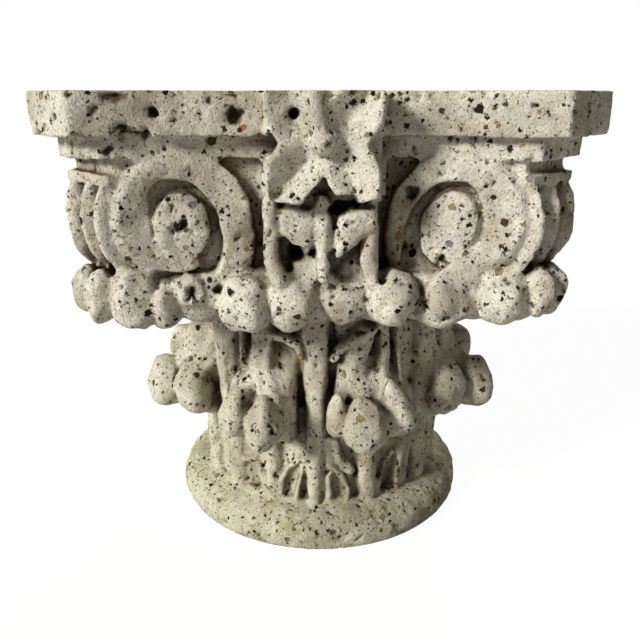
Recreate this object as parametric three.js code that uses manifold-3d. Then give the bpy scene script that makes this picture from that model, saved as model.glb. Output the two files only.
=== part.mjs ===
// A Corinthian capital in pitted cast stone, one solid piece: a round base roll, a bell with two
// tiers of curling leaves, four pairs of scrolls under a concave-sided abacus, and a flower over a
// lily on each face. Millimetres, +Z up, the origin at the centre of the underside, the front face
// towards -Y. The four faces repeat by quarter turns, and each face mirrors about its own middle.
import * as THREE from "three";
import { mergeVertices } from "three/addons/utils/BufferGeometryUtils.js";
import Module from "manifold-3d";

const wasm = await Module();
wasm.setup();

// Driving dimensions
const height = 370;
const abacusHalf = 192; // from the axis to the line through two horns
const abacusThick = 28;
const abacusHollow = 29; // how far each side curves in at its middle
const cornerCut = 39; // the horn's flat, measured along each side
const rollRadius = 135;
const rollHeight = 29;
const bellRadius = 101;
const lowerLeafTurn = 19; // degrees from a face's middle to each lower leaf
const scrollHeight = 285; // height of the scroll eyes
const scrollReach = 224; // from the axis to a corner scroll's rim, along the diagonal
const lobeHeight = 232; // height of the row of curled leaf tips under the scrolls

// Turns a three.js geometry into a solid. A mirrored geometry has its triangles turned back.
function solid(geometry, matrix = new THREE.Matrix4()) {
  const placed = (geometry.index ? geometry.toNonIndexed() : geometry.clone()).applyMatrix4(matrix);
  placed.deleteAttribute("normal");
  placed.deleteAttribute("uv");
  const merged = mergeVertices(placed, 1e-3);
  const triVerts = new Uint32Array(merged.index.array);
  if (matrix.determinant() < 0) {
    for (let i = 0; i < triVerts.length; i += 3) {
      [triVerts[i + 1], triVerts[i + 2]] = [triVerts[i + 2], triVerts[i + 1]];
    }
  }
  const vertProperties = new Float32Array(merged.attributes.position.array);
  return new wasm.Manifold(new wasm.Mesh({ numProp: 3, vertProperties, triVerts }));
}

function joined(solids) {
  return solids.reduce((whole, next) => whole.add(next));
}

// Moves every vertex of a geometry through a function of its position.
function reshaped(geometry, move) {
  const position = geometry.attributes.position;
  const point = new THREE.Vector3();
  for (let i = 0; i < position.count; i++) {
    point.fromBufferAttribute(position, i);
    move(point);
    position.setXYZ(i, point.x, point.y, point.z);
  }
  return geometry;
}

// A value that runs smoothly through evenly spaced stations as t goes from 0 to 1.
function along(stations, t) {
  const place = THREE.MathUtils.clamp(t, 0, 1) * (stations.length - 1);
  const low = Math.min(Math.floor(place), stations.length - 2);
  return THREE.MathUtils.lerp(stations[low], stations[low + 1], place - low);
}

// A body turned about the Z axis. The profile is [radius, height] pairs from the axis to the axis.
function turned(profile, sides) {
  const points = profile.map(([radius, z]) => new THREE.Vector2(radius, z));
  return new THREE.LatheGeometry(points, sides).rotateX(Math.PI / 2);
}

// A slab between two heights, with the plan of the abacus moved in by some distance.
function hollowSided(inset, bottom, top, cut = cornerCut, segments = 5) {
  const edge = abacusHalf - inset;
  const chordHalf = edge - cut;
  const hollow = abacusHollow * (chordHalf / (abacusHalf - cornerCut)) ** 2;
  const arcRadius = (chordHalf ** 2 + hollow ** 2) / (2 * hollow);
  const arcHalf = Math.asin(chordHalf / arcRadius);
  const outline = [];
  for (let side = 0; side < 4; side++) {
    const quarter = (side * Math.PI) / 2;
    for (let i = 0; i <= segments; i++) {
      const bearing = arcHalf * ((2 * i) / segments - 1);
      const x = arcRadius * Math.sin(bearing);
      const y = -(edge - hollow + arcRadius * (1 - Math.cos(bearing)));
      outline.push(new THREE.Vector2(x, y).rotateAround(new THREE.Vector2(), quarter));
    }
  }
  const options = { depth: top - bottom, bevelEnabled: false };
  return new THREE.ExtrudeGeometry(new THREE.Shape(outline), options).translate(0, 0, bottom);
}

// The base: a fat roll, steep outside and rounded over, with a narrow shoulder up to the bell.
function baseRoll() {
  const profile = [
    [0, 0],
    [rollRadius - 5, 0],
    [rollRadius, 7],
    [rollRadius, 15],
    [rollRadius - 5, 23],
    [rollRadius - 14, rollHeight],
    [rollRadius - 23, rollHeight + 3],
    [0, rollHeight + 3],
  ];
  return turned(profile, 30);
}

// Stations of a scroll's edges, [degrees, radius], about the eye. Seen from outside, 0 degrees
// points to the face's middle. The band climbs from its stalk, turns over the top and runs down
// the corner side, under the eye and into it.
const bandOuter = [[-36, 57], [0, 45], [45, 46], [90, 45], [135, 49], [180, 53], [222, 49], [255, 39], [285, 31]];
const eyeEdge = [[315, 24], [360, 20], [405, 20], [450, 21], [495, 22], [550, 23]];
const bandInner = [[190, 28], [135, 28], [90, 26], [45, 26], [0, 27], [-52, 38]];

// A scroll's plate in its own upright plane, with the eye at the origin and its face at z = 0.
function scrollPlate(depth) {
  const polar = ([degrees, radius]) => {
    const bearing = THREE.MathUtils.degToRad(degrees);
    return new THREE.Vector2(radius * Math.cos(bearing), radius * Math.sin(bearing));
  };
  const outline = [...bandOuter, ...eyeEdge, ...bandInner].map(polar);
  const options = { depth, bevelEnabled: false };
  return new THREE.ExtrudeGeometry(new THREE.Shape(outline), options).translate(0, 0, -depth);
}

// The left scroll of a face: its plate stands upright, turned so that the corner end comes forward.
function leftScroll() {
  const faceTurn = 15;
  const plate = scrollPlate(36);
  plate.rotateX(Math.PI / 2); // the plate's height runs up and its face looks to -Y
  plate.rotateZ(THREE.MathUtils.degToRad(faceTurn));
  return plate.translate(-90, -165, scrollHeight);
}

// The wheel between two scrolls at the left front corner, with three ridges round its rim.
function cornerWheel() {
  const halfWidth = 21;
  const radius = 47;
  const channel = 5;
  const profile = [
    [0, -halfWidth - 3],
    [radius - 5, -halfWidth - 3],
    [radius, -halfWidth],
    [radius - channel, -halfWidth * 0.45],
    [radius, 0],
    [radius - channel, halfWidth * 0.45],
    [radius, halfWidth],
    [radius - 5, halfWidth + 3],
    [0, halfWidth + 3],
  ];
  const wheel = turned(profile, 10).rotateY(Math.PI / 2);
  wheel.translate(0, -(scrollReach - radius), scrollHeight);
  return wheel.rotateZ(-Math.PI / 4);
}

// One petal of the flower: a blade along +Z with a ridge down its face, curling towards -Y.
function petal(length, halfWidth, bearing) {
  const shape = new THREE.CylinderGeometry(1, 1, 1, 4, 3).rotateX(Math.PI / 2);
  reshaped(shape, (p) => {
    const t = p.z + 0.5;
    const breadth = halfWidth * along([0.35, 0.85, 1, 0.45], t);
    p.set(p.x * breadth, p.y * 11 - 7 * t, t * length);
  });
  return shape.rotateY(THREE.MathUtils.degToRad(bearing));
}

const flowerHeight = 335;
const flowerOut = 178; // from the axis to the roots of the petals

function flower() {
  const petals = [45, 135, -45, -135].map((bearing) => petal(40.5, 19, bearing));
  return [
    ...petals.map((blade) => blade.translate(0, -flowerOut, flowerHeight)),
    new THREE.SphereGeometry(9, 6, 4).rotateX(Math.PI / 2).translate(0, -flowerOut - 12, flowerHeight + 1),
    new THREE.BoxGeometry(48, 30, 62).translate(0, 15 - flowerOut, flowerHeight + 2),
  ];
}

// A leaf or bud of the lily: a four-edged spindle that leans outwards. Its stations are
// [distance out, height, half width, half depth].
function spindle(stations) {
  const column = (index) => stations.map((station) => station[index]);
  const shape = new THREE.CylinderGeometry(1, 1, 1, 4, stations.length - 1).rotateX(Math.PI / 2);
  return reshaped(shape, (p) => {
    const [out, z, halfWidth, halfDepth] = [0, 1, 2, 3].map((index) => along(column(index), p.z + 0.5));
    p.set(p.x * halfWidth, p.y * halfDepth - out, z);
  });
}

// The lily under the flower: a bud between two curling leaves, framed by two upright bands.
function lilyBud() {
  return spindle([[144, 244, 9, 8], [170, 274, 10, 9], [162, 306, 4, 6]]);
}

function lilyLeft() {
  const band = new THREE.BoxGeometry(9, 50, 66).translate(-31, -142, 273);
  const leaf = spindle([[150, 246, 4, 9], [162, 278, 13, 10], [158, 304, 10, 9]]);
  return [band, leaf.translate(-15, 0, 0)];
}

// Half a face's leaves meet at these bearings, in degrees from the face's middle to the corner.
// Between each two is one curled tip of the upper tier.
const tipNotches = [0, 11, 22.5, 33.5, 38.7, 45];
const columnsPerTip = 3;

// A round hump from 0 at its edges to 1 at its middle.
function hump(bearing, middle, halfWidth) {
  return Math.sqrt(Math.max(0, 1 - ((bearing - middle) / halfWidth) ** 2));
}

// How far the stalks stand out from the bell: one up the face's middle, one up the corner, and
// thinner ones between them.
function stalks(bearing) {
  const ridge = (middle, halfWidth, rise) => rise * Math.max(0, 1 - Math.abs(bearing - middle) / halfWidth);
  return ridge(0, 6, 12) + ridge(11, 3, 5) + ridge(19, 4, 8) + ridge(25.6, 3, 6) + ridge(33.5, 1.6, 5) + ridge(45, 5, 11);
}

// The outline of the carving in an upright plane through the axis, as [distance out, height] pairs
// from the base to the abacus. Tip runs from 0 in a notch of the upper tier to 1 and back.
function carvedProfile(bearing, tip) {
  const { lerp } = THREE.MathUtils;
  const stem = bellRadius + stalks(bearing);
  const lobe = Math.max(hump(bearing, 12.4, 5.6), hump(bearing, 25.6, 6.4));
  const leaf = hump(bearing, lowerLeafTurn, 13);
  const notch = 13 * (1 - Math.sqrt(Math.sin(Math.PI * tip)));
  const reach = 178 + 52 * (bearing / 45) ** 2.5 - notch;
  return [
    [bellRadius - 6, rollHeight - 9],
    [stem, rollHeight + 5],
    [stem + 2, 87],
    [lerp(stem + 3, 153, lobe), 97],
    [lerp(stem + 4, 165, lobe), 114],
    [lerp(stem + 5, 160, lobe), 135],
    [lerp(stem + 6, 147, leaf), 155],
    [lerp(stem + 7, 124, leaf), 164],
    [stem + 8, 184],
    [stem + 19, 206],
    [reach - 10, lobeHeight - 20 + notch],
    [reach, lobeHeight - 8 + 0.5 * notch],
    [reach + 1, lobeHeight + 6],
    [reach - 8, lobeHeight + 17],
    [Math.min(146, reach - 20), lobeHeight + 21],
    [bellRadius + 28, lobeHeight + 26],
    [bellRadius + 32, height - abacusThick - 10],
  ];
}

// The bell and its two tiers of leaves, as one skin of upright columns round the axis.
function foliage() {
  const halfFace = (tipNotches.length - 1) * columnsPerTip;
  const rows = carvedProfile(0, 0).length;
  const rings = [[0, 0], ...Array.from({ length: rows }, (_, row) => [1, row]), [0, rows - 1]];
  const skin = turned(rings, 8 * halfFace);
  return reshaped(skin, (p) => {
    const side = Math.atan2(p.x, -p.y) / (Math.PI / 2);
    const fromMiddle = side - Math.round(side);
    const place = Math.abs(fromMiddle) * 2 * (tipNotches.length - 1);
    const bearing = along(tipNotches, place / (tipNotches.length - 1));
    const [out, z] = carvedProfile(bearing, place % 1)[Math.round(p.z)];
    const onAxis = Math.hypot(p.x, p.y) < 0.5;
    const turn = (Math.round(side) * Math.PI) / 2 + Math.sign(fromMiddle) * THREE.MathUtils.degToRad(bearing);
    p.set(onAxis ? 0 : out * Math.sin(turn), onAxis ? 0 : -out * Math.cos(turn), z);
  });
}

// Every part of the front face, and of the corner at its left.
function faceSolid() {
  const left = [leftScroll(), ...lilyLeft()];
  const middle = [...flower(), lilyBud(), cornerWheel()];
  const mirror = new THREE.Matrix4().makeScale(-1, 1, 1);
  const parts = [
    ...left.map((shape) => solid(shape)),
    ...left.map((shape) => solid(shape, mirror)),
    ...middle.map((shape) => solid(shape)),
  ];
  return joined(parts);
}

// The abacus and the mouldings under it, which follow its hollow sides.
function abacusSolid() {
  const under = height - abacusThick;
  return joined([
    solid(hollowSided(0, under, height)),
    solid(hollowSided(8, under - 15, under + 1)),
    solid(hollowSided(16, under - 25, under - 14)),
    solid(hollowSided(12, under - 31, under - 24)),
  ]);
}

function capitalSolid() {
  const face = faceSolid();
  const quarters = [0, 1, 2, 3].map((side) => face.rotate([0, 0, side * 90]));
  return joined([solid(baseRoll()), solid(foliage()), abacusSolid(), ...quarters]);
}

function meshOf(name, body, material) {
  const made = body.getMesh();
  const geometry = new THREE.BufferGeometry()
    .setAttribute("position", new THREE.BufferAttribute(made.vertProperties, 3))
    .setIndex(new THREE.BufferAttribute(made.triVerts, 1));
  geometry.computeVertexNormals();
  const mesh = new THREE.Mesh(geometry, material);
  mesh.name = name;
  return mesh;
}

const castStone = new THREE.MeshStandardMaterial({ color: 0xc9c3ae, roughness: 0.95, metalness: 0 });
const capital = new THREE.Group();
capital.add(meshOf("capital", capitalSolid(), castStone));
export default capital;
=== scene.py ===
import math

import bmesh
import bpy
import numpy as np
from mathutils import Matrix, Vector, noise
from mathutils.bvhtree import BVHTree


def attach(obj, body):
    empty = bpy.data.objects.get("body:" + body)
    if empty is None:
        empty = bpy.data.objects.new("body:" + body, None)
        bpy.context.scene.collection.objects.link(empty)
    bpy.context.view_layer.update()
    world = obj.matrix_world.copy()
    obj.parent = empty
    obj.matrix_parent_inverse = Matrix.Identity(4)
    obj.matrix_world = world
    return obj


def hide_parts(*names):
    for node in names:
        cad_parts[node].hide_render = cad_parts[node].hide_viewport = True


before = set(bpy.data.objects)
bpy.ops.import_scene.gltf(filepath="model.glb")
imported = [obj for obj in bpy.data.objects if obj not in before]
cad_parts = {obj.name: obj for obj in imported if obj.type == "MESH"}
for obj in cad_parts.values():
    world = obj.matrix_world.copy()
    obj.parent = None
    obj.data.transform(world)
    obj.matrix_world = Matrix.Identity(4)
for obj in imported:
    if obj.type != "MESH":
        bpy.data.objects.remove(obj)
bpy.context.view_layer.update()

# A weathered Corinthian capital of porous cast stone. All sizes are millimetres until the finished
# piece is brought to metres. +Z is up, the front face looks to -Y. Bearings are degrees round the
# axis from the front, positive to the right.
metre = 0.001
stone = {
    "height": 370.0,
    "abacusHalf": 192.0,     # from the axis to the line through two horns
    "cornerCut": 39.0,       # the horn's flat, measured along each side
    "bellRadius": 104.0,
    "lobeHeight": 232.0,     # the row of curled leaf tips
    "scrollHeight": 285.0,   # the scroll eyes
    "scrollReach": 224.0,    # from the axis to a corner scroll's rim
    "voxel": 1.45,
    "triangles": 194000,
    "seed": 7,
}


def smoothStep(low, high, value):
    t = np.clip((value - low) / (high - low), 0.0, 1.0)
    return t * t * (3.0 - 2.0 * t)


def meshFrom(bm):
    bmesh.ops.recalc_face_normals(bm, faces=bm.faces[:])
    mesh = bpy.data.meshes.new("carving")
    bm.to_mesh(mesh)
    bm.free()
    return mesh


def coordinates(mesh):
    values = np.zeros(len(mesh.vertices) * 3)
    mesh.vertices.foreach_get("co", values)
    return values.reshape(-1, 3)


def setCoordinates(mesh, values):
    mesh.vertices.foreach_set("co", np.ascontiguousarray(values, dtype=np.float64).ravel())
    mesh.update()


def placed(mesh, matrix):
    mesh.transform(matrix)
    if matrix.determinant() < 0:
        mesh.flip_normals()
    return mesh


def spun(outline, axis, steps):
    # a closed body turned from an outline of (radius, place along the axis)
    bm = bmesh.new()
    corners = [bm.verts.new((along, 0.0, r) if axis == "X" else (r, 0.0, along)) for r, along in outline]
    edges = [bm.edges.new(pair) for pair in zip(corners, corners[1:])]
    turn = (1, 0, 0) if axis == "X" else (0, 0, 1)
    bmesh.ops.spin(
        bm, geom=corners + edges, cent=(0, 0, 0), axis=turn, angle=math.tau, steps=steps, use_merge=True
    )
    bmesh.ops.remove_doubles(bm, verts=bm.verts[:], dist=0.01)
    return meshFrom(bm)


def toLine(points, across, up):
    # how far each place is from a bent line, and how far along it the nearest point lies, 0 to 1
    line = np.array(points, dtype=float)
    nearest = np.full(across.shape, 1e9)
    share = np.zeros_like(across)
    for i in range(len(line) - 1):
        start, run = line[i], line[i + 1] - line[i]
        t = np.clip(((across - start[0]) * run[0] + (up - start[1]) * run[1]) / (run @ run), 0.0, 1.0)
        away = np.hypot(across - start[0] - t * run[0], up - start[1] - t * run[1])
        closer = away < nearest
        nearest = np.where(closer, away, nearest)
        share = np.where(closer, (i + t) / (len(line) - 1), share)
    return nearest, share


def insideShape(points, across, up):
    # how far inside a closed outline each place is; 0 outside it
    closed = list(points) + [points[0]]
    crossings = np.zeros(across.shape, dtype=int)
    for (x0, z0), (x1, z1) in zip(closed, closed[1:]):
        if z0 != z1:
            reached = (up > min(z0, z1)) & (up <= max(z0, z1))
            crossings += reached & (across < x0 + (up - z0) * (x1 - x0) / (z1 - z0))
    return np.where(crossings % 2 == 1, toLine(closed, across, up)[0], 0.0)


def strokeField(strokes, across, up):
    # the highest of a set of rounded strokes: (points, half widths at the ends, rise)
    field = np.zeros_like(across)
    for points, widths, rise in strokes:
        away, share = toLine(points, across, up)
        width = widths[0] + (widths[1] - widths[0]) * share
        field = np.maximum(field, rise * np.clip(1.0 - (away / width) ** 2, 0.0, 1.0) ** 0.45)
    return field


# Base roll: steep outside, rounded over, with a narrow shoulder up to the bell
roll = {
    "outline": [
        (0, 0), (134, 0), (136, 4), (136.5, 10), (135.5, 15), (132, 20.5), (126, 25), (119, 28),
        (113, 29.5), (109, 33), (0, 33),
    ],
    "steps": 128,
}


def makeBaseRoll():
    return spun(roll["outline"], "Z", roll["steps"])


# Abacus and the mouldings under it: each is the abacus plan moved in, between two heights
abacus = {"sideSteps": 24}
mouldings = [
    {"inset": 0.0, "hollow": 29.0, "bottom": 342.0, "top": 370.0},
    {"inset": 12.0, "hollow": 29.0, "bottom": 327.0, "top": 343.0},
    {"inset": 20.0, "hollow": 56.0, "bottom": 317.0, "top": 328.0},   # shows at the corners only
    {"inset": 15.0, "hollow": 56.0, "bottom": 311.0, "top": 318.0},   # and so does this one
    {"inset": 25.0, "hollow": 24.0, "bottom": 250.0, "top": 328.0},   # the wall behind the scrolls
]


def makeSlab(inset, hollow, bottom, top):
    edge = stone["abacusHalf"] - inset
    chordHalf = edge - stone["cornerCut"]
    bm = bmesh.new()
    outline = []
    for side in range(4):
        turn = Matrix.Rotation(side * math.pi / 2, 3, "Z")
        for i in range(abacus["sideSteps"] + 1):
            x = chordHalf * (2 * i / abacus["sideSteps"] - 1)
            y = -(edge - hollow * (1 - (x / chordHalf) ** 2))
            outline.append(bm.verts.new(turn @ Vector((x, y, bottom))))
    raised = bmesh.ops.extrude_face_region(bm, geom=[bm.faces.new(outline)])["geom"]
    raised = [v for v in raised if isinstance(v, bmesh.types.BMVert)]
    bmesh.ops.translate(bm, verts=raised, vec=(0, 0, top - bottom))
    return meshFrom(bm)


# The bell and its leaves: one skin of upright outlines that turn round the axis
foliage = {
    "columns": 960,
    "rows": 240,
    "tipNotches": [0.0, 11.0, 22.5, 33.5, 38.7, 45.0],  # bearings between the upper tips, to the corner
    "notchDepth": 8.0,
    "reach": 174.0,          # from the axis to the tips at a face's middle
    "cornerReach": 226.0,
    "lobeBearings": [(17.0, 7.5), (29.5, 6.5)],         # middle and half width, under the lower lobes
    "leafTurn": 21.0,
    "strokeScale": math.pi / 180 * 112.0,               # millimetres to a degree on the bell
    "frontEdge": 60.0,       # the front's own stalks reach this far round on each side
    "ribWidth": 1.25, "ribShare": 0.78, "hollowShare": 0.6,
}
# Ribs that climb the bell: [(bearing, height), ...], half widths in mm, rise. First those of a
# leaf at the left of a face's middle, then the stem in the middle, then the leaf at its right.
leftRibs = [
    ([(-6.7, 170), (-8.4, 180), (-13.8, 186), (-20.2, 188)], (2.4, 4.0), 17),
    ([(-20, 182), (-19.5, 160), (-16.6, 147), (-13.1, 135), (-11.7, 121), (-11.9, 91)], (2.4, 1.8), 15),
    ([(-23.9, 222), (-23.9, 167), (-24.2, 144), (-24.8, 128)], (7.6, 9.5), 15),
    ([(-32.4, 222), (-32.4, 168), (-33.5, 153), (-36, 134)], (2.6, 2.2), 14),
    ([(-45.0, 222), (-45.6, 165), (-45.0, 100)], (13.5, 10), 12),
    ([(-42.8, 222), (-43, 150), (-42.5, 110)], (3.0, 3.0), 15),
    ([(-45.0, 100), (-45.2, 68), (-43.4, 23)], (9, 7.5), 10),
    ([(-41, 49), (-38.8, 59), (-33.6, 62), (-29, 54), (-27.2, 41), (-28, 25)], (2.6, 2.4), 8),
    ([(-22.8, 92), (-22.1, 54), (-22.4, 25)], (6.6, 6.0), 12),
    ([(-18.6, 28), (-17.6, 50), (-14.6, 62), (-9.4, 71)], (1.8, 2.4), 9),
    ([(-6.3, 76), (-9.4, 50), (-11.5, 23)], (1.8, 2.2), 9),
]
stemRibs = [
    ([(-1.5, 222), (-1.4, 157), (-1.2, 115), (-2.0, 68), (-2.5, 27)], (10, 5.4), 14),
    ([(3.8, 92), (4.0, 27)], (2.9, 2.9), 9),
]
rightRibs = [
    ([(4.9, 167), (8.3, 178), (13.5, 185), (20.5, 191)], (2.2, 4.5), 19),
    ([(18.4, 188), (14.3, 173), (12.2, 156), (11.5, 138)], (7.0, 9.5), 17),
    ([(25.9, 222), (25.3, 170), (23.7, 149), (22.5, 131)], (6.4, 2.6), 15),
    ([(33.4, 222), (31.6, 169), (32.8, 154), (35.5, 138)], (2.6, 5.0), 15),
    ([(53.0, 222), (53.4, 141), (55.5, 101), (56, 25)], (11, 9), 14),
    ([(5.9, 89), (9.1, 71), (13.8, 61)], (4.5, 3.2), 10),
    ([(22.1, 92), (22.4, 54), (23.7, 25)], (7.6, 7.5), 13),
    ([(27.8, 27), (29.2, 43), (31.7, 61), (36, 68), (41.5, 70)], (2.0, 2.4), 9),
    ([(42, 92), (41, 68), (39.5, 50), (38, 25)], (4.2, 4.6), 11),
    ([(47.5, 92), (46, 60), (43.7, 25)], (3.4, 4.0), 9),
    ([(3.9, 77), (5.1, 67), (9.7, 56), (12.8, 44), (12.6, 27)], (2.0, 2.2), 9),
]
leftHollows = [
    ([(-10.3, 133), (-10.1, 125)], (5.0, 4.6), 22),
    ([(-14.5, 176), (-12.5, 160), (-9.6, 146)], (5.5, 4.5), 6),
    ([(-8.8, 112), (-8.6, 88)], (3.6, 3.2), 6),
    ([(-31.5, 153), (-33.6, 141), (-36.6, 131)], (3.4, 1.4), 12),
    ([(-28.7, 215), (-28.4, 150)], (3.0, 2.4), 5),
    ([(-34, 48), (-33, 28)], (5.0, 5.0), 6),
]
rightHollows = [
    ([(4.6, 215), (4.3, 150), (2.4, 96)], (3.0, 1.8), 8),
    ([(22.4, 188), (22.0, 165), (19.6, 140)], (2.2, 1.6), 10),
    ([(30.2, 215), (29.0, 161), (30.0, 140)], (2.6, 2.2), 7),
    ([(42, 215), (42.5, 170), (43.5, 128)], (8.0, 7.0), 6),
    ([(33.5, 48), (34, 30)], (5.0, 5.0), 6),
]


def mirrored(strokes):
    return strokes + [([(-b, z) for b, z in points], widths, rise) for points, widths, rise in strokes]


def stalkField(strokes, bearing, z):
    scale, scaled = foliage["strokeScale"], []
    for points, widths, rise in strokes:
        onStone = [(b * scale, h) for b, h in points]
        scaled.append((onStone, [foliage["ribWidth"] * w for w in widths], rise))
    return strokeField(scaled, bearing * scale, z)


def hump(bearing, middle, halfWidth):
    return np.sqrt(np.clip(1.0 - ((bearing - middle) / halfWidth) ** 2, 0.0, 1.0))


def makeFoliage():
    bm = bmesh.new()
    bmesh.ops.create_grid(bm, x_segments=foliage["columns"], y_segments=foliage["rows"], size=1.0)
    mesh = meshFrom(bm)
    grid = coordinates(mesh)
    turn = grid[:, 0] * 180.0
    face = np.round(turn / 90.0)
    local = turn - 90.0 * face
    bearing = np.abs(local)
    notches = foliage["tipNotches"]
    place = np.interp(bearing, notches, np.arange(len(notches)))
    notch = foliage["notchDepth"] * (1.0 - np.sqrt(np.sin(np.pi * np.clip(place % 1.0, 0.0, 1.0))))
    reach = foliage["reach"] + (foliage["cornerReach"] - foliage["reach"]) * (bearing / 45.0) ** 2.5 - notch
    lobe = np.maximum(*[hump(bearing, middle, half) for middle, half in foliage["lobeBearings"]])
    leaf = hump(bearing, foliage["leafTurn"], 12.0)
    one = np.ones_like(bearing)
    stem = stone["bellRadius"] * one
    lobeTop = stone["lobeHeight"]
    # each station is how far out the skin lies and how high, from the roll to under the abacus
    stations = [
        (0 * one, 20 * one),
        (stem - 6, 20 * one),
        (stem, 33 * one),
        (stem + 1, 60 * one),
        (stem + 2, 88 * one),
        (stem + 3 + (128 - 104) * lobe, 98 * one),
        (stem + 3 + (140 - 104) * lobe, 106 * one),
        (stem + 4 + (143 - 105) * lobe, 122 * one),
        (stem + 5 + (137 - 106) * lobe, 138 * one),
        (stem + 6 + (127 - 107) * leaf, 152 * one),
        (stem + 6 + (115 - 107) * leaf, 166 * one),
        (stem + 7, 184 * one),
        (stem + 14, 204 * one),
        (reach - 14, lobeTop - 20 + notch),
        (reach - 1, lobeTop - 8 + 0.5 * notch),
        (reach, lobeTop + 6 * one),
        (reach - 8, lobeTop + 16 * one),
        (np.minimum(146, reach - 20), lobeTop + 20 * one),
        (stem + 28, lobeTop + 26 * one),
        (stem + 31, 320 * one),
        (stem + 33, 332 * one),
        (0 * one, 332 * one),
    ]
    along = (grid[:, 1] + 1.0) / 2.0 * (len(stations) - 1)
    index = np.clip(along.astype(int), 0, len(stations) - 2)
    t = along - index
    pick, last = np.arange(len(grid)), len(stations) - 1
    smoothed = []
    for values in [np.stack(axis) for axis in zip(*stations)]:
        a, b, c, d = [values[np.clip(index + k, 0, last), pick] for k in (-1, 0, 1, 2)]
        square, cube = (2 * a - 5 * b + 4 * c - d) * t**2, (3 * b - a - 3 * c + d) * t**3
        rounded = 0.5 * (2 * b + (c - a) * t + square + cube)
        smoothed.append(np.where((index == 0) | (index >= last - 1), b + (c - b) * t, rounded))
    out, z = smoothed
    # the ribs and hollows are strongest on the bell and die away on the leaves and at the roll
    onBell = smoothStep(1.0, 2.0, along) * (1.0 - smoothStep(11.6, 13.2, along))
    front = np.abs(turn) < foliage["frontEdge"]
    ribs = np.where(
        front,
        stalkField(leftRibs + stemRibs + rightRibs, turn, z),
        stalkField(mirrored(leftRibs) + stemRibs, local, z),
    )
    hollows = np.where(
        front,
        stalkField(leftHollows + rightHollows, turn, z),
        stalkField(mirrored(leftHollows), local, z),
    )
    covered = np.clip((out - stem - 10.0) / 14.0, 0.0, 1.0) * (z < 172)
    ribs, hollows = foliage["ribShare"] * ribs, foliage["hollowShare"] * hollows
    out = out + onBell * (ribs * (1.0 - 0.75 * covered) - hollows * (1.0 - covered))
    angle = np.radians(turn)
    setCoordinates(mesh, np.stack([out * np.sin(angle), -out * np.cos(angle), z], axis=1))
    bm = bmesh.new()
    bm.from_mesh(mesh)
    bpy.data.meshes.remove(mesh)
    bmesh.ops.remove_doubles(bm, verts=bm.verts[:], dist=0.02)
    return meshFrom(bm)


# Rounded lobes of the leaves, each a stretched ball that narrows towards its top:
# centre x and y (or bearing and distance out), z, half width, half depth, half height, lean to the
# right at the top, taper
frontLobes = [
    (-29.8, 134, 122, 15.0, 17, 26, 12, 0.20), (-18.0, 145, 120, 15.5, 18, 25, 2, 0.25),
    (14.0, 146, 123, 20.5, 19, 24, -8, 0.30), (5.6, 138, 127, 9.0, 14, 19, 0, 0.15),
    (26.2, 140, 129, 13.5, 17, 27, -20, 0.15),
]
plainLobes = [(-18.5, 147, 119, 18.0, 19, 25, 14, 0.15), (-33.0, 130, 122, 16.0, 17, 24, 10, 0.20)]
# the same for the curled tips of the upper leaves, given by x and y
frontTips = [
    (-151, -162, 234, 11, 14, 21, 0, 0.1), (-130, -161, 233, 17, 18, 24, 6, 0.0),
    (-109, -158, 228, 13, 15, 20, 0, 0.0),
    (-89, -156, 236, 15, 18, 15, 0, 0.0), (-52, -165, 230, 19.5, 18, 21, 0, 0.1),
    (-20, -167, 229, 18.5, 16, 20.5, 8, 0.1),
    (15, -162, 230, 12, 13, 18, 0, 0.2), (24, -160, 236, 10, 12, 12, 0, 0.0),
    (51, -166, 233, 17.5, 18, 21, 0, 0.0),
    (88, -159, 230, 22, 20, 22, -5, 0.0), (104, -156, 237, 13, 14, 20, 0, 0.0),
    (128, -161, 232, 19, 19, 21, 0, 0.0),
    (151, -163, 238, 11, 14, 18, 0, 0.1),
]
plainTips = [
    (-17, -164, 230, 16, 15, 19, 0, 0.1), (-50, -163, 231, 18, 17, 21, 0, 0.1),
    (-88, -158, 232, 20, 19, 21, 0, 0.1),
    (-128, -161, 232, 18, 18, 21, 0, 0.1), (-150, -163, 236, 11, 14, 19, 0, 0.1),
]


lobeShape = {"boxiness": 2.2, "lumps": 0.20, "lumpScale": 1.3}   # how square, how uneven, how many lumps


def makeLobe(x, y, z, halfWidth, halfDepth, halfHeight, lean, taper):
    bm = bmesh.new()
    bmesh.ops.create_icosphere(bm, subdivisions=4, radius=1.0)
    for v in bm.verts:
        corner = sum(abs(c) ** lobeShape["boxiness"] for c in v.co) ** (1.0 / lobeShape["boxiness"])
        lump = noise.noise(v.co * lobeShape["lumpScale"] + Vector((x, y, z)) * 0.37)
        v.co *= (0.96 + lobeShape["lumps"] * lump) / corner
        narrow = 1.0 - taper * float(smoothStep(-0.2, 1.0, v.co.z))
        v.co.x *= narrow
        v.co.y *= narrow
    bmesh.ops.scale(bm, verts=bm.verts[:], vec=(halfWidth, halfDepth, halfHeight))
    bmesh.ops.rotate(bm, verts=bm.verts[:], matrix=Matrix.Rotation(math.radians(lean), 3, "Y"))
    bmesh.ops.rotate(bm, verts=bm.verts[:], matrix=Matrix.Rotation(math.atan2(x, -y), 3, "Z"))
    bmesh.ops.translate(bm, verts=bm.verts[:], vec=(x, y, z))
    return meshFrom(bm)


def otherHand(shape):
    across, out, z, halfWidth, halfDepth, halfHeight, lean, taper = shape
    return (-across, out, z, halfWidth, halfDepth, halfHeight, -lean, taper)


def makeLobes(side):
    lower, upper = list(frontLobes), list(frontTips)
    if side > 0:
        lower = plainLobes + [otherHand(shape) for shape in plainLobes]
        upper = plainTips + [otherHand(shape) for shape in plainTips]
    for bearing, out, *rest in lower:
        angle = math.radians(bearing)
        upper.append((out * math.sin(angle), -out * math.cos(angle), *rest))
    return [makeLobe(*shape) for shape in upper]


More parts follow.
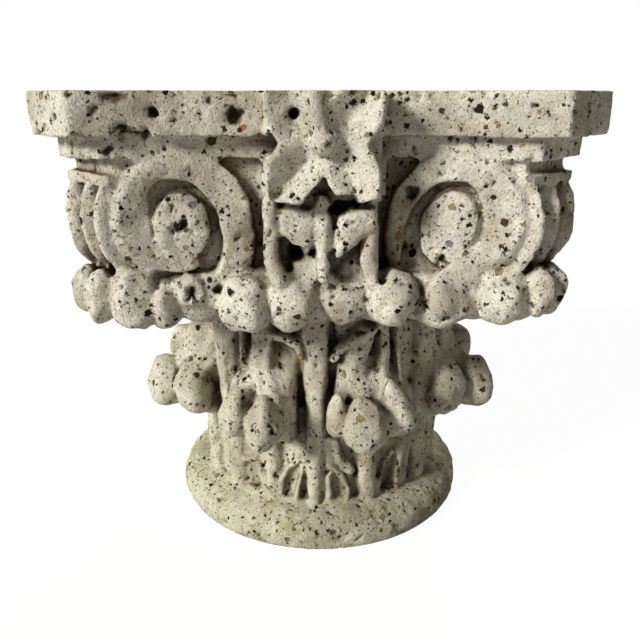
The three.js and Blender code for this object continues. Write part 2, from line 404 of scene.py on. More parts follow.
# Reliefs: a block whose face is carved to a depth that depends on the place across and up
def roundHole(across, up, radius):
    return np.sqrt(np.clip(1.0 - (across**2 + up**2) / radius**2, 0.0, 1.0))


cutAway, unseen = -60.0, -90.0    # how far back a relief goes where it is cut away, or where a shape isn't


def makeRelief(width, height, step, back, faceAt):
    bm = bmesh.new()
    bmesh.ops.create_grid(bm, x_segments=int(width / step), y_segments=int(height / step), size=1.0)
    bmesh.ops.scale(bm, verts=bm.verts[:], vec=(width / 2, height / 2, 1.0))
    bmesh.ops.rotate(bm, verts=bm.verts[:], matrix=Matrix.Rotation(math.pi / 2, 3, "X"))
    bmesh.ops.translate(bm, verts=bm.verts[:], vec=(0.0, back, 0.0))
    front = bmesh.ops.extrude_face_region(bm, geom=bm.faces[:])["geom"]
    front = [v for v in front if isinstance(v, bmesh.types.BMVert)]
    across = np.array([v.co.x for v in front])
    up = np.array([v.co.z for v in front])
    for v, rise in zip(front, faceAt(across, up)):
        v.co.y = -rise
    return meshFrom(bm)


# Scrolls: stations are (degrees, radius) about the eye. 0 degrees points to the face's middle,
# 90 up and 180 to the corner. The band climbs from its stalk, turns over and runs into the eye.
# A groove's stations are degrees, radius, half width, depth.
scroll = {
    "size": (124.0, 122.0), "eyeX": 90.0, "eyeY": -165.0, "faceTurn": 15.0, "depth": 40.0, "step": 0.9,
    "outer": [
        (-75, 62), (-60, 60), (-36, 55), (0, 46), (45, 46.5), (90, 48), (135, 53), (180, 54), (205, 50),
        (229, 43), (249, 37), (270, 33), (285, 31),
    ],
    "bevel": 8.0, "bevelDepth": 7.0, "dish": 5.0,
    "leftGroove": [
        (-75, 35, 12, 22), (-53, 29, 8.5, 22), (-38, 25, 6.5, 18), (-22, 21.5, 4.6, 13),
        (-4, 18.8, 3.2, 9), (32, 19, 2.7, 8),
        (62, 21, 3.0, 9), (90, 24, 3.8, 12), (117, 27, 5.2, 14), (157, 26, 4.6, 13), (190, 24, 3.2, 10),
        (212, 22.5, 1.2, 2),
    ],
    "rightGroove": [
        (-75, 44, 13, 15), (-45, 39, 9.5, 13), (-25, 31, 7.0, 11), (5, 26.5, 4.6, 9), (42, 24, 4.0, 11),
        (75, 24.5, 3.8, 11),
        (102, 24.5, 3.8, 10), (130, 21.5, 2.8, 8), (150, 19.5, 2.4, 7), (183, 18.2, 2.0, 5),
        (223, 18, 1.0, 1.5),
    ],
}


def scrollFace(groove):
    outer, cut = np.array(scroll["outer"], dtype=float), np.array(groove, dtype=float)

    def faceAt(across, up):
        radius = np.hypot(across, up)
        angle = np.degrees(np.arctan2(up, across))
        bearing = np.where(angle < -76.0, angle + 360.0, angle)
        inside = np.interp(bearing, outer[:, 0], outer[:, 1]) - radius
        rise = np.where(inside > 0.0, 0.0, cutAway)
        cornerSide = smoothStep(95.0, 135.0, bearing) * (1.0 - smoothStep(225.0, 262.0, bearing))
        rise = rise - scroll["bevelDepth"] * cornerSide * np.clip(1.0 - inside / scroll["bevel"], 0.0, 1.0)
        rise = rise - 1.2 * np.clip(1.0 - inside / 2.5, 0.0, 1.0) ** 2
        grooveAt, half, depth = [np.interp(bearing, cut[:, 0], cut[:, k]) for k in (1, 2, 3)]
        # the band sinks a little from its rim to the groove on the corner side
        sink = np.clip((inside - scroll["bevel"]) / 18.0, 0.0, 1.0) * (radius > grooveAt)
        rise = rise - scroll["dish"] * cornerSide * sink
        inCut = np.clip(1.0 - ((radius - grooveAt) / half) ** 2, 0.0, 1.0) * (bearing < cut[-1, 0])
        return rise - depth * inCut**0.5 + 2.0 * np.clip(1.0 - (radius / 17.0) ** 2, 0.0, 1.0)

    return faceAt


def makeScroll(groove, side):
    plate = makeRelief(*scroll["size"], scroll["step"], scroll["depth"], scrollFace(groove))
    eye = Matrix.Translation((-scroll["eyeX"], scroll["eyeY"], stone["scrollHeight"]))
    placed(plate, eye @ Matrix.Rotation(math.radians(scroll["faceTurn"]), 4, "Z"))
    if side > 0:
        placed(plate, Matrix.Diagonal((-1.0, 1.0, 1.0, 1.0)))
    return plate


# the rim between two scrolls at a corner, with a channel on each side of its middle ridge
wheel = {"radius": 49.0, "halfWidth": 21.0, "channel": 11.0, "steps": 72}


def makeWheel():
    radius, half = wheel["radius"], wheel["halfWidth"]
    ridge = [i / 16 - 0.5 for i in range(17)]
    outline = [(0.0, -half - 4), (radius - 6, -half - 4), (radius - 1.5, -half - 2)]
    outline += [(radius - wheel["channel"] * math.sin(math.tau * abs(t)) ** 2, 2 * half * t) for t in ridge]
    outline += [(radius - 1.5, half + 2), (radius - 6, half + 4), (0.0, half + 4)]
    rim = spun(outline, "X", wheel["steps"])
    placed(rim, Matrix.Translation((0.0, -(stone["scrollReach"] + 6 - radius), stone["scrollHeight"] + 1)))
    return placed(rim, Matrix.Rotation(-math.pi / 4, 4, "Z"))


# The flower: four folded petals in a cross, a bud between them and a lump over it. Places are from
# the bud's middle. Each petal has its outline, the line of its fold, and the fold's depth.
flower = {
    "size": (86.0, 68.8), "centre": (3.0, 336.0), "drop": 0.4, "budRaise": 4.4, "out": 196.0,
    "depth": 44.0, "step": 0.8,
    "petals": [
        (
            [
                (3.4, 6), (0.6, 22.7), (12, 33.5), (27.6, 34.4), (35.6, 34.4), (36, 25), (35.6, 11),
                (30.7, 3.2), (27, -3), (19, -4), (12, -0.6),
            ],
            [(9.6, 5), (20, 20), (31, 34)], 11,
        ),
        (
            [
                (12, -3), (19, -2), (27, -3), (30.7, -7), (35.3, -15), (35.6, -24), (33.8, -35),
                (22, -38.7), (19, -32.5), (7, -32), (1.5, -24.7), (0.3, -15.6), (4, -7),
            ],
            [(9, -7), (15, -20), (21, -38)], 9,
        ),
        (
            [
                (-12, -1), (-27.6, -1.6), (-35.6, -12.4), (-37.5, -23.4), (-35.6, -35.8), (-26, -38.6),
                (-14.6, -38), (-8.4, -30.5), (-2.2, -25), (1.5, -18), (0, -12), (-5, -6),
            ],
            [(-7, -6), (-18, -18), (-32, -35)], 10,
        ),
        (
            [(-37, 34.4), (-37, 15.6), (-29, -0.6), (-19, -2), (-10, 3), (-11, 17.5), (-9, 34.4)],
            [(-12, 2), (-20, 18), (-22, 34)], 7,
        ),
    ],
    "holes": [(-19.0, 17.0, 3.6, 10.0), (-36.0, -3.0, 7.0, 34.0)],
    "bud": 8.6, "budRise": 12.0, "core": 15.0, "back": -24.0,
}


def flowerFace(across, upBlock):
    up = upBlock - flower["budRaise"]
    rise = np.full_like(across, flower["back"])
    for outline, fold, depth in flower["petals"]:
        inside = insideShape(outline, across, up)
        fromFold, along = toLine(fold, across, up)
        valley = depth * inside / np.maximum(inside + fromFold, 0.01)
        blade = 1.0 - valley - 7.0 * (1.0 - along) ** 2 - 1.6 * np.clip(1.0 - inside / 1.6, 0.0, 1.0)
        rise = np.maximum(rise, np.where(inside > 0.0, blade, unseen))
    lump, climb = toLine([(-5.9, 34), (-5.9, 22), (-2.5, 8)], across, up)
    rounded = -6.0 + 7.0 * np.sqrt(np.clip(1.0 - (lump / (9.0 - 3.5 * climb)) ** 2, 0.0, 1.0))
    rise = np.maximum(rise, np.where(lump < 9.0 - 3.5 * climb, rounded, unseen))
    for x, z, radius, depth in flower["holes"]:
        rise = rise - depth * roundHole(across - x, up - z, radius)
    bud = np.hypot(across, up) / flower["bud"]
    ball = -8.0 + flower["budRise"] * np.clip(1.0 - bud**2, 0.0, 1.0) ** 0.5
    rise = np.maximum(rise, np.where(bud < 1.0, ball, unseen))
    rise = np.maximum(rise, np.where(bud < flower["core"] / flower["bud"], -9.0, unseen))
    outside = (np.abs(across) > 38.0) | (up < -39.5)
    return np.where(outside, cutAway, rise)


def makeFlower():
    block = makeRelief(*flower["size"], flower["step"], flower["depth"], flowerFace)
    x, z = flower["centre"]
    return placed(block, Matrix.Translation((x, -flower["out"], z - flower["drop"])))


# The lily below, by its place across and up on the face. Strokes are rounded: points, half widths,
# rise over the plane. Slabs are outlines with a rise and how wide their edges are rounded.
lily = {
    "size": (77.0, 68.0), "out": 178.0, "depth": 52.0, "step": 0.8, "middle": (1.0, 273.0), "floor": -17.0,
    "strokes": [
        ([(-32.5, 300), (-32.5, 262), (-27, 246)], (5.0, 6.5), 1.0),
        ([(1.6, 312), (2.2, 292), (2.0, 268), (2.4, 250)], (4.0, 4.6), 2.5),
        ([(2.2, 300), (2.6, 270)], (7.2, 6.0), 1.0),
        ([(34, 284), (33.5, 262), (38, 246)], (5.4, 7.0), -2.0),
        ([(4, 251), (14, 243), (20, 236)], (4.0, 5.0), -4.0),
    ],
    "slabs": [
        (
            [(-28, 297), (-15, 300), (-4, 297), (-3, 284), (-5, 272), (-9, 264), (-16, 271), (-26, 279)],
            2.0, 6.0,
        ),
        ([(-29, 256), (-21, 261), (-9, 262), (-2, 266), (3, 250), (-6, 238), (-30, 238)], -7.0, 5.0),
        (
            [(12, 292), (20, 297), (37, 298), (38, 282), (30, 280), (20, 271), (10, 262), (10, 280)], 3.5,
            6.0,
        ),
        ([(29, 279), (38, 281), (38, 268), (34, 270)], 0.0, 3.0),
        ([(6, 250), (20, 262), (29, 272), (32, 258), (30, 240), (8, 240)], -14.0, 4.0),
    ],
    "holes": [(-15.7, 266.5, 6.5, 16.0), (-22.0, 256.0, 3.5, 9.0), (7.5, 296.0, 2.4, 14.0)],
}


def lilyFace(acrossBlock, upBlock):
    across, up = acrossBlock + lily["middle"][0], upBlock + lily["middle"][1]
    rise = np.full_like(across, lily["floor"])
    for points, widths, top in lily["strokes"]:
        away, along = toLine(points, across, up)
        width = widths[0] + (widths[1] - widths[0]) * along
        ball = np.clip(1.0 - (away / width) ** 2, 0.0, 1.0)
        rise = np.maximum(rise, np.where(ball > 0.0, top - width + 1.3 * width * np.sqrt(ball), unseen))
    for outline, top, soft in lily["slabs"]:
        inside = insideShape(outline, across, up)
        edge = np.clip(1.0 - inside / soft, 0.0, 1.0)
        domed = top - 5.0 + 5.0 * np.sqrt(np.clip(1.0 - edge**2, 0.0, 1.0))
        rise = np.maximum(rise, np.where(inside > 0.0, domed, unseen))
    for x, z, radius, depth in lily["holes"]:
        rise = rise - depth * roundHole(across - x, up - z, radius)
    return rise


def makeLily():
    x, z = lily["middle"]
    block = makeRelief(*lily["size"], lily["step"], lily["depth"], lilyFace)
    return placed(block, Matrix.Translation((x, -lily["out"], z)))


# Joining and weathering
def joinedObject(name, meshes):
    bm = bmesh.new()
    for mesh in meshes:
        bm.from_mesh(mesh)
        bpy.data.meshes.remove(mesh)
    mesh = bpy.data.meshes.new(name)
    bm.to_mesh(mesh)
    bm.free()
    made = bpy.data.objects.new(name, mesh)
    bpy.context.scene.collection.objects.link(made)
    return made


def applyModifiers(made):
    depsgraph = bpy.context.evaluated_depsgraph_get()
    mesh = bpy.data.meshes.new_from_object(made.evaluated_get(depsgraph))
    made.modifiers.clear()
    old = made.data
    made.data = mesh
    bpy.data.meshes.remove(old)


def remesh(made):
    modifier = made.modifiers.new("one skin", "REMESH")
    modifier.mode = "VOXEL"
    modifier.voxel_size = stone["voxel"]
    modifier.adaptivity = 0.0
    applyModifiers(made)


def latticeNoise(points, size, seed):
    # smooth random values between -1 and 1 that change over a length of about size
    scaled = points / size + 1000.0
    cell = np.floor(scaled).astype(np.int64)
    t = scaled - cell
    t = t * t * (3.0 - 2.0 * t)
    total = np.zeros(len(points))
    for offset in [(i, j, k) for i in (0, 1) for j in (0, 1) for k in (0, 1)]:
        q = cell + np.array(offset)
        h = q[:, 0] * 374761393 + q[:, 1] * 668265263 + q[:, 2] * 2147483647 + seed * 974634777
        h = h & 0xFFFFFFFF
        h = ((h ^ (h >> 13)) * 1274126177) & 0xFFFFFFFF
        weight = np.prod(np.where(np.array(offset) == 1, t, 1.0 - t), axis=1)
        total += weight * (((h ^ (h >> 16)) & 0xFFFF) / 32767.5 - 1.0)
    return total


def pitField(points, spacing, radii, share, seed):
    # how deep each point lies in a round pit, 0 outside and 1 at its middle, and the pit's radius
    cell = np.floor(points / spacing).astype(np.int64)
    deepest, size = np.zeros(len(points)), np.zeros(len(points))
    for offset in [(i, j, k) for i in (-1, 0, 1) for j in (-1, 0, 1) for k in (-1, 0, 1)]:
        q = cell + np.array(offset)
        h = (
            q[:, 0] * 73856093 ^ q[:, 1] * 19349663 ^ q[:, 2] * 83492791 ^ (seed * 2654435761)
        ) & 0xFFFFFFFF
        parts = []
        for k in range(5):
            h = ((h ^ (h >> 15)) * 2246822519 + k * 3266489917) & 0xFFFFFFFF
            parts.append(((h >> 8) & 0xFFFF) / 65535.0)
        radius = radii[0] + (radii[1] - radii[0]) * parts[3] ** 2.5
        away = np.linalg.norm(points - (q + np.stack(parts[:3], axis=1)) * spacing, axis=1) / radius
        depth = np.where((away < 1.0) & (parts[4] < share), 1.0 - away**2, 0.0)
        better = depth * radius > deepest * size
        deepest, size = np.where(better, depth, deepest), np.where(better, radius, size)
    return deepest, size


weather = {
    "smoothing": 1,
    "swell": [(30.0, 1.1), (12.0, 0.9), (5.5, 0.7)],      # size over which it changes, how far
    "pits": [(21.0, (2.8, 5.5), 0.4), (10.0, (1.8, 3.2), 0.5)],  # cell, radii, share of cells
    "pitDepth": 1.0, "wander": 2.6, "wanderSize": 3.5,    # the pits' edges wander by so much over so much
}
# Chips and large voids of the front: x, y, z, radius, depth.
chips = [
    (-121, -183, 341, 9, 8), (-112, -176, 341, 7, 6), (-151, -186, 343, 6, 4), (-126, -182, 369, 9, 3),
    (-165, -178, 355, 4, 7), (-54, -168, 355, 6, 8), (-104, -176, 357, 4, 6), (-93, -163, 284, 7, 10),
    (-100, -172, 334, 5, 6), (-136, -175, 334, 5, 6), (-60, -150, 262, 6, 8), (-87, -176, 240, 8, 12),
    (92, -173, 262, 4, 6), (128, -174, 250, 4, 5), (76, -171, 230, 5, 7), (150, -182, 352, 4, 4),
]


def vertexNormals(mesh):
    values = np.zeros(len(mesh.vertices) * 3)
    mesh.vertex_normals.foreach_get("vector", values)
    return values.reshape(-1, 3)


def addAttribute(mesh, name, values):
    attribute = mesh.attributes.new(name, "FLOAT", "POINT")
    attribute.data.foreach_set("value", np.ascontiguousarray(values, dtype=np.float32))


def weatherSurface(made):
    mesh = made.data
    bm = bmesh.new()
    bm.from_mesh(mesh)
    for _ in range(weather["smoothing"]):
        bmesh.ops.smooth_vert(
            bm, verts=bm.verts[:], factor=0.5, use_axis_x=True, use_axis_y=True, use_axis_z=True
        )
    bm.to_mesh(mesh)
    bm.free()
    points, normals = coordinates(mesh), vertexNormals(mesh)
    push, pit = np.zeros(len(points)), np.zeros(len(points))
    for i, (size, amount) in enumerate(weather["swell"]):
        push += amount * latticeNoise(points, size, stone["seed"] + i)
    # the flat beds at the very top and bottom stay level
    bed = smoothStep(0.0, 4.0, points[:, 2]) * (1.0 - 0.85 * smoothStep(367.0, 369.5, points[:, 2]))
    drift = [latticeNoise(points, weather["wanderSize"], 50 + k) for k in range(3)]
    warped = points + weather["wander"] * np.stack(drift, axis=1)
    for i, (spacing, radii, share) in enumerate(weather["pits"]):
        depth, radius = pitField(warped, spacing, radii, share, 90 + i)
        push -= weather["pitDepth"] * radius * depth**0.6
        pit = np.maximum(pit, depth)
    for x, y, z, radius, depth in chips:
        away = np.linalg.norm(warped - np.array((x, y, z)), axis=1) / radius
        hollow = np.clip(1.0 - away**2, 0.0, 1.0) ** 0.6
        push -= depth * hollow
        pit = np.maximum(pit, hollow)
    points = points + normals * (push * bed)[:, None]
    points[:, 2] = np.clip(points[:, 2], 0.0, stone["height"])
    setCoordinates(mesh, points)
    # how deep in a pit or chip each point lies; the stone's colour darkens it as painted shade
    addAttribute(mesh, "pit", pit * bed)


thinning = {"plainSide": 1.0, "frontSide": 0.45, "between": (-110.0, -10.0), "factor": 0.02}


def decimate(made):
    # the front keeps the most faces, the sides and the back fewer
    mesh = made.data
    towardsBack = smoothStep(*thinning["between"], coordinates(mesh)[:, 1])
    weights = thinning["frontSide"] + (thinning["plainSide"] - thinning["frontSide"]) * towardsBack
    group = made.vertex_groups.new(name="plainer")
    for level in range(16):
        members = np.nonzero(np.round(weights * 15).astype(int) == level)[0]
        group.add(members.tolist(), level / 15, "REPLACE")
    modifier = made.modifiers.new("fewer faces", "DECIMATE")
    modifier.ratio = min(1.0, stone["triangles"] / sum(len(p.vertices) - 2 for p in mesh.polygons))
    modifier.use_collapse_triangulate = True
    modifier.vertex_group = group.name
    modifier.vertex_group_factor = thinning["factor"]
    applyModifiers(made)
    made.vertex_groups.clear()


shelter = {"rays": 20, "length": 70.0, "lift": 0.6, "fade": 0.6}


def addShelter(made):
    # how enclosed each vertex is, from 0 in the open to 1 in a deep hollow
    mesh = made.data
    points, normals = coordinates(mesh), vertexNormals(mesh)
    tree = BVHTree.FromPolygons([tuple(p) for p in points], [tuple(p.vertices) for p in mesh.polygons])
    golden = math.pi * (3.0 - math.sqrt(5.0))
    rays = []
    for i in range(shelter["rays"]):
        z = math.sqrt((i + 0.5) / shelter["rays"])
        ring = math.sqrt(1.0 - z * z)
        rays.append(Vector((ring * math.cos(golden * i), ring * math.sin(golden * i), z)))
    closed = np.zeros(len(points))
    for index in range(len(points)):
        normal = Vector(normals[index])
        start = Vector(points[index]) + normal * shelter["lift"]
        turned = normal.to_track_quat("Z", "Y")
        for ray in rays:
            distance = tree.ray_cast(start, turned @ ray, shelter["length"])[3]
            if distance is not None:
                closed[index] += (1.0 - shelter["fade"] * distance / shelter["length"]) / len(rays)
    # the stone's colour darkens enclosed places by this, as soil and painted shade
    addAttribute(mesh, "shelter", closed)


# The stone
def linear(code):
    channels = [int(code[i:i + 2], 16) / 255 for i in (1, 3, 5)]
    return [c / 12.92 if c <= 0.04045 else ((c + 0.055) / 1.055) ** 2.4 for c in channels] + [1.0]


def addNode(tree, kind, settings=None, values=None, links=None, stops=None):
    node = tree.nodes.new(kind)
    for name, value in (settings or {}).items():
        setattr(node, name, value)
    for socket, value in (values or {}).items():
        node.inputs[socket].default_value = value
    for socket, source in (links or {}).items():
        tree.links.new(source, node.inputs[socket])
    for index, (at, shade) in enumerate(stops or []):
        elements = node.color_ramp.elements
        element = elements[index] if index < 2 else elements.new(at)
        element.position = at
        element.color = linear(shade) if isinstance(shade, str) else (shade, shade, shade, 1.0)
    return node


castStoneLook = {
    # noise: size in mm over which it changes, detail, roughness
    "noises": {
        "cloud": (42, 4.0, 0.6), "patch": (15, 4.0, 0.65), "mottle": (4.2, 3.0, 0.7),
        "grain": (1.25, 2.0, 0.75), "crumb": (2.4, 4.0, 0.75), "lump": (7.0, 3.0, 0.6),
    },
    # voids and aggregate: cell in mm, largest radius in mm, share of cells left empty, edge softness
    "voids": {
        # the specks, pores and holes are sunk voids, painted dark as the shade inside them
        "speck": (2.6, 1.0, 0.25, 0.14), "pore": (4.9, 2.0, 0.40, 0.07), "hole": (11.5, 3.5, 0.55, 0.04),
    },
    "paste": [(0.30, "#dbd3b9"), (0.48, "#ebe6d2"), (0.70, "#f6f3e7")],
    # the soil colour is soil and painted shade: it darkens the sheltered hollows and the pits
    "lilac": "#c3bbb0", "straw": "#d3cc9f", "moss": "#bcc08c", "soilAndShade": "#65532c", "speck": "#4b3d27",
    # pore and hole colours: the dark stops are painted shade inside the voids, the light ones are aggregate
    "poreShadeAndGrit": [(0.0, "#1d150b"), (0.35, "#33281a"), (0.62, "#5c4a2d"), (0.80, "#a8925f")],
    "holeShadeAndGrit": [
        (0.0, "#241a0f"), (0.38, "#4a3b24"), (0.60, "#a18a58"), (0.88, "#8d8784"), (0.94, "#a8664d"),
    ],
    "wanderSize": 2.2, "wander": 5.5,    # mm over which the edges wander, and how far
    # how much of each mark, by a noise or by how sheltered or pitted the place is
    "masks": {
        "lilac": ("cloud", [(0.45, 0.0), (0.62, 0.75)]),
        "straw": ("patch", [(0.50, 0.0), (0.68, 0.7)]),
        "moss": ("patch", [(0.30, 0.35), (0.60, 1.0)]),
        "mottle": ("mottle", [(0.42, 0.0), (0.64, 0.5)]),
        "grain": ("grain", [(0.30, "#86794f"), (0.47, "#ffffff")]),
        # soil and painted shade, darker the more enclosed the place
        "soilAndShade": ("shelter", [(0.30, 0.0), (0.52, 0.6), (0.76, 1.0)]),
        # painted shade at the bottom of the pits and chips
        "pit": ("pit", [(0.15, 0.0), (0.75, 0.85)]),
    },
    # how far each noise or void lifts or sinks the surface in the bump
    "relief": {"crumb": 0.8, "lump": 0.8, "grain": 0.35, "speck": -0.5, "pore": -1.2, "hole": -1.6},
    "greenTop": 0.20, "greenBase": 0.015, "green": 0.45, "roughness": 0.94, "ior": 1.5, "specular": 0.2,
    "bump": 1.0, "bumpHeight": 1.8,
}


def castStone():
    # Cast stone: crushed limestone and cement, poured and tooled. Cream paste, air pits painted dark as the
    # shade inside them, tan and grey aggregate, brown soil and painted shade in the hollows and a green
    # bloom low down.
    look = castStoneLook
    material = bpy.data.materials.new("castStone")
    material.use_nodes = True
    tree = material.node_tree
    shader = tree.nodes["Principled BSDF"]
    place = addNode(tree, "ShaderNodeTexCoord").outputs["Object"]
    noise = {}
    for name, (size, detail, roughness) in look["noises"].items():
        values = {"Scale": 1.0 / (size * metre), "Detail": detail, "Roughness": roughness}
        noise[name] = addNode(
            tree, "ShaderNodeTexNoise", values=values, links={"Vector": place},
        ).outputs["Fac"]
    # the voids are ragged, so their cells are looked up at a place that wanders by a millimetre or two
    wander = addNode(
        tree, "ShaderNodeTexNoise",
        values={"Scale": 1 / (look["wanderSize"] * metre), "Detail": 3.0, "Roughness": 0.7},
        links={"Vector": place},
    )
    wandered = addNode(
        tree, "ShaderNodeVectorMath", {"operation": "SCALE"}, {"Scale": look["wander"] * metre},
        {0: wander.outputs["Color"]},
    )
    ragged = addNode(
        tree, "ShaderNodeVectorMath", {"operation": "ADD"}, links={0: place, 1: wandered.outputs[0]},
    ).outputs[0]
    inVoid, chance = {}, {}
    for name, (cell, radius, empty, soft) in look["voids"].items():
        cells = addNode(
            tree, "ShaderNodeTexVoronoi", values={"Scale": 1 / (cell * metre)}, links={"Vector": ragged},
        )
        picks = addNode(tree, "ShaderNodeSeparateColor", links={"Color": cells.outputs["Color"]})
        sized = addNode(
            tree, "ShaderNodeMapRange", values={"From Min": empty, "To Max": radius / cell},
            links={"Value": picks.outputs[0]},
        )
        depth = addNode(
            tree, "ShaderNodeMath", {"operation": "SUBTRACT"},
            links={0: sized.outputs[0], 1: cells.outputs["Distance"]},
        )
        edge = addNode(
            tree, "ShaderNodeMapRange", values={"From Max": soft}, links={"Value": depth.outputs[0]},
        )
        inVoid[name], chance[name] = edge.outputs[0], picks.outputs[1]
    shelterNode = addNode(tree, "ShaderNodeAttribute", {"attribute_name": "shelter"})
    pitNode = addNode(tree, "ShaderNodeAttribute", {"attribute_name": "pit"})
    height = addNode(tree, "ShaderNodeSeparateXYZ", links={"Vector": place}).outputs["Z"]
    low = addNode(
        tree, "ShaderNodeMapRange",
        values={"From Min": look["greenTop"], "From Max": look["greenBase"], "To Max": look["green"]},
        links={"Value": height},
    )
    sources = dict(noise, shelter=shelterNode.outputs["Fac"], pit=pitNode.outputs["Fac"])
    mask = {}
    for name, (source, stops) in look["masks"].items():
        ramp = addNode(tree, "ShaderNodeValToRGB", links={"Fac": sources[source]}, stops=stops)
        mask[name] = ramp.outputs["Color"]
    mossy = addNode(
        tree, "ShaderNodeMath", {"operation": "MULTIPLY"}, links={0: mask["moss"], 1: low.outputs[0]},
    )
    colour = addNode(
        tree, "ShaderNodeValToRGB", links={"Fac": noise["patch"]}, stops=look["paste"],
    ).outputs["Color"]
    poreShadeAndGrit = addNode(tree, "ShaderNodeValToRGB", links={"Fac": chance["pore"]}, stops=look["poreShadeAndGrit"])
    holeShadeAndGrit = addNode(tree, "ShaderNodeValToRGB", links={"Fac": chance["hole"]}, stops=look["holeShadeAndGrit"])
    for ramp in (poreShadeAndGrit, holeShadeAndGrit):
        ramp.color_ramp.interpolation = "CONSTANT"
    # each layer goes over the ones before it: how much of it, its colour, how it blends
    layers = [
        (mask["lilac"], linear(look["lilac"]), "MULTIPLY"),
        (mask["straw"], linear(look["straw"]), "MULTIPLY"),
        (mask["mottle"], linear(look["lilac"]), "MIX"),
        (0.6, mask["grain"], "MULTIPLY"),
        # specks, pores and holes: painted shade inside the voids, with aggregate showing in some
        (inVoid["speck"], linear(look["speck"]), "MIX"),
        (inVoid["pore"], poreShadeAndGrit.outputs["Color"], "MIX"),
        (inVoid["hole"], holeShadeAndGrit.outputs["Color"], "MIX"),
        # painted shade in the pits and chips
        (mask["pit"], linear(look["soilAndShade"]), "MULTIPLY"),
        (mossy.outputs[0], linear(look["moss"]), "MULTIPLY"),
        # soil and painted shade in the enclosed hollows
        (mask["soilAndShade"], linear(look["soilAndShade"]), "MULTIPLY"),
    ]
    for factor, shade, blend in layers:
        values, links = {}, {6: colour}
        for socket, source in ((0, factor), (7, shade)):
            if isinstance(source, bpy.types.NodeSocket):
                links[socket] = source
            else:
                values[socket] = source
        colour = addNode(
            tree, "ShaderNodeMix", {"data_type": "RGBA", "blend_type": blend}, values, links,
        ).outputs[2]
    tree.links.new(colour, shader.inputs["Base Color"])
    shader.inputs["Roughness"].default_value = look["roughness"]
    shader.inputs["IOR"].default_value = look["ior"]
    shader.inputs["Specular IOR Level"].default_value = look["specular"]
    surface = None
    lifts = dict(noise, **inVoid)
    for name, weight in look["relief"].items():
        part = addNode(
            tree, "ShaderNodeMath", {"operation": "MULTIPLY_ADD"}, {1: weight, 2: 0.0}, {0: lifts[name]},
        )
        if surface is not None:
            tree.links.new(surface, part.inputs[2])
        surface = part.outputs[0]
    bump = addNode(
        tree, "ShaderNodeBump", values={"Strength": look["bump"], "Distance": look["bumpHeight"] * metre},
        links={"Height": surface},
    )
    tree.links.new(bump.outputs["Normal"], shader.inputs["Normal"])
    return material


# Build
def makeCapital():
    solids = [makeBaseRoll(), makeFoliage()] + [makeSlab(**moulding) for moulding in mouldings]
    print("core made")
    for side in range(4):
        turn = Matrix.Rotation(side * math.pi / 2, 4, "Z")
        carved = makeLobes(side)
        carved.append(makeScroll(scroll["leftGroove"], -1))
        carved.append(makeScroll(scroll["rightGroove" if side == 0 else "leftGroove"], 1))
        carved += [makeWheel(), makeFlower(), makeLily()]
        solids += [placed(mesh, turn) for mesh in carved]
    print("faces made")
    capital = joinedObject("capitalStone", solids)
    remesh(capital)
    print("one skin:", len(capital.data.vertices), "vertices")
    weatherSurface(capital)
    decimate(capital)
    frontFaces = sum(1 for p in capital.data.polygons if p.center.y < -60.0)
    print("decimated:", len(capital.data.polygons), "faces, at the front", frontFaces)
    addShelter(capital)
    print("shelter found")
    capital.data.transform(Matrix.Scale(metre, 4))
    capital.data.shade_smooth()
    capital.data.materials.append(castStone())
    return capital


capital = makeCapital()
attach(capital, "root")
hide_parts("capital")

# Floor, light and camera
studio = {
    # how much of the floor's look is even white
    "floor": "#c4c4c2", "floorGlow": 0.86, "glowStrength": 1.1,
    "sunBearing": -53.0, "sunRise": 26.0, "sunSize": 14.0, "sunStrength": 4.0,
    "fill": 0.06, "fillColour": "#fff6e4",
    "backBearing": 165.0, "backRise": 35.0, "backStrength": 1.4,    # a weaker light for the far side
    "lens": 37.52, "cameraBack": -0.613, "cameraHeight": 0.3643, "cameraDown": 18.26,
}


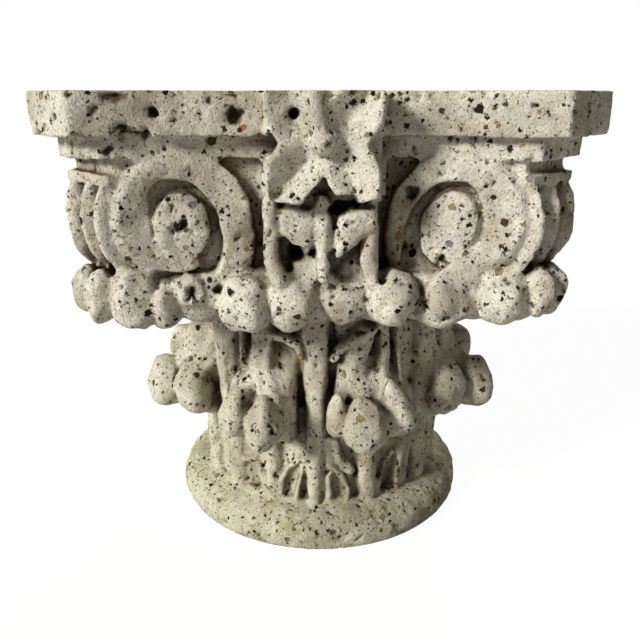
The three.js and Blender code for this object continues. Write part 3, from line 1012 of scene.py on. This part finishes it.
def makeFloor():
    bm = bmesh.new()
    bmesh.ops.create_grid(bm, x_segments=1, y_segments=1, size=6.0)
    floor = bpy.data.objects.new("floor", meshFrom(bm))
    bpy.context.scene.collection.objects.link(floor)
    paint = bpy.data.materials.new("mattPaint")    # matt white paint, lit from within so that it stays pale
    paint.use_nodes = True
    tree = paint.node_tree
    shader = tree.nodes["Principled BSDF"]
    shader.inputs["Base Color"].default_value = linear(studio["floor"])
    shader.inputs["Roughness"].default_value = 0.9
    glow = addNode(
        tree, "ShaderNodeEmission",
        values={"Color": linear("#ffffff"), "Strength": studio["glowStrength"]},
    )
    seen = addNode(tree, "ShaderNodeLightPath").outputs["Is Camera Ray"]
    share = addNode(tree, "ShaderNodeMath", {"operation": "MULTIPLY"}, {1: studio["floorGlow"]}, {0: seen})
    both = addNode(
        tree, "ShaderNodeMixShader",
        links={0: share.outputs[0], 1: shader.outputs[0], 2: glow.outputs[0]},
    )
    tree.links.new(both.outputs[0], tree.nodes["Material Output"].inputs["Surface"])
    floor.data.materials.append(paint)


def makeLights():
    world = bpy.data.worlds.new("studio")
    world.use_nodes = True
    tree = world.node_tree
    fill = tree.nodes["Background"]
    fill.inputs["Color"].default_value = linear(studio["fillColour"])
    fill.inputs["Strength"].default_value = studio["fill"]
    white = addNode(tree, "ShaderNodeBackground", values={"Color": linear("#ffffff"), "Strength": 1.0})
    seen = addNode(tree, "ShaderNodeLightPath").outputs["Is Camera Ray"]
    both = addNode(tree, "ShaderNodeMixShader", links={0: seen, 1: fill.outputs[0], 2: white.outputs[0]})
    tree.links.new(both.outputs[0], tree.nodes["World Output"].inputs["Surface"])
    bpy.context.scene.world = world
    for name in ("sun", "back"):
        bearing, rise = math.radians(studio[name + "Bearing"]), math.radians(studio[name + "Rise"])
        level = math.cos(rise)
        towards = Vector((math.sin(bearing) * level, -math.cos(bearing) * level, math.sin(rise)))
        light = bpy.data.lights.new(name, "SUN")
        light.energy = studio[name + "Strength"]
        light.angle = math.radians(studio["sunSize"])
        lamp = bpy.data.objects.new(name, light)
        lamp.location = towards * 2.0
        lamp.rotation_mode = "QUATERNION"
        lamp.rotation_quaternion = towards.to_track_quat("Z", "Y")
        bpy.context.scene.collection.objects.link(lamp)


def makeCamera():
    camera = bpy.data.objects.new("camera", bpy.data.cameras.new("camera"))
    camera.data.lens = studio["lens"]
    camera.data.sensor_width = 36.0
    camera.location = (0.0, studio["cameraBack"], studio["cameraHeight"])
    camera.rotation_euler = (math.radians(90.0 - studio["cameraDown"]), 0.0, 0.0)
    bpy.context.scene.collection.objects.link(camera)
    bpy.context.scene.camera = camera


makeFloor()
makeLights()
makeCamera()
bpy.context.scene.view_settings.view_transform = "Standard"
print("studio made")
